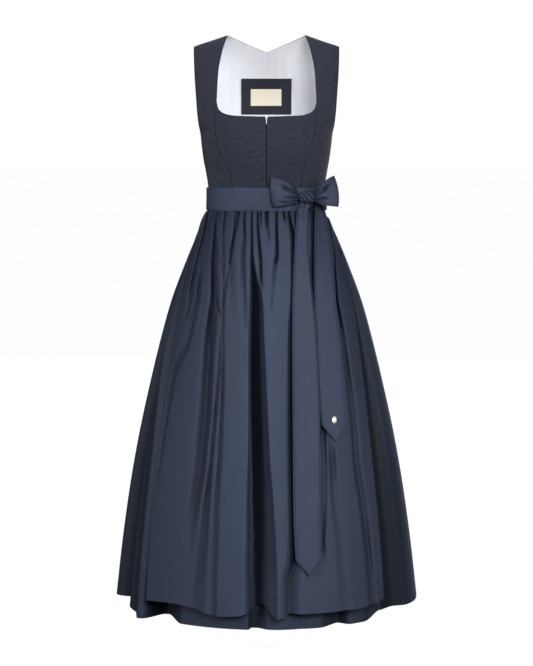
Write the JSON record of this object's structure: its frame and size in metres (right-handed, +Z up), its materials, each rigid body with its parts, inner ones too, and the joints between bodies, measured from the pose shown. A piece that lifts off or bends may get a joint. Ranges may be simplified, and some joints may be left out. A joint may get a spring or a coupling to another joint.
{
  "type": "dirndl",
  "caption": "Sleeveless dirndl in worn form: square-neck bodice with centre zip, gathered skirt, half apron with waistband, side bow and hanging tails; hollow, open at neck, armholes and hem.",
  "frame": {"origin": "on the body axis at the height of the inner ends of the shoulder seams, where the wearer's shoulders hold the dress", "axes": "+Z up, the front faces -Y, +X is the wearer's left"},
  "size_m": [0.6992, 0.6232, 1.2852],
  "materials": {
    "bodice_cloth": "matt textured weave",
    "lining": "smooth thin cotton",
    "zip": "woven zip tape",
    "patch": "plain weave",
    "label": "woven ribbon, bare",
    "skirt_cloth": "soft satin sheen",
    "apron_cloth": "taffeta with a soft sheen",
    "stud": "polished pale gold"
  },
  "bodies": {
    "root": {"bodice_center_front_left": "bodice_cloth", "bodice_center_front_right": "bodice_cloth", "bodice_side_front_left": "bodice_cloth", "bodice_side_front_right": "bodice_cloth", "bodice_side_back_left": "bodice_cloth", "bodice_side_back_right": "bodice_cloth", "bodice_center_back": "bodice_cloth", "lining_center_back": "lining", "lining_side_back_left": "lining", "lining_side_back_right": "lining", "zip_tape": "zip", "label_patch": "patch", "label": "label", "skirt_front": "skirt_cloth", "skirt_side_left": "skirt_cloth", "skirt_back": "skirt_cloth", "skirt_side_right": "skirt_cloth", "apron_panel": "apron_cloth", "apron_waistband": "apron_cloth", "apron_tie_round": "apron_cloth", "bow_loop_right": "apron_cloth", "bow_loop_left": "apron_cloth", "bow_knot": "apron_cloth", "bow_tail_long": "apron_cloth", "bow_tail_short": "apron_cloth", "stud": "stud"}
  },
  "joints": []
}
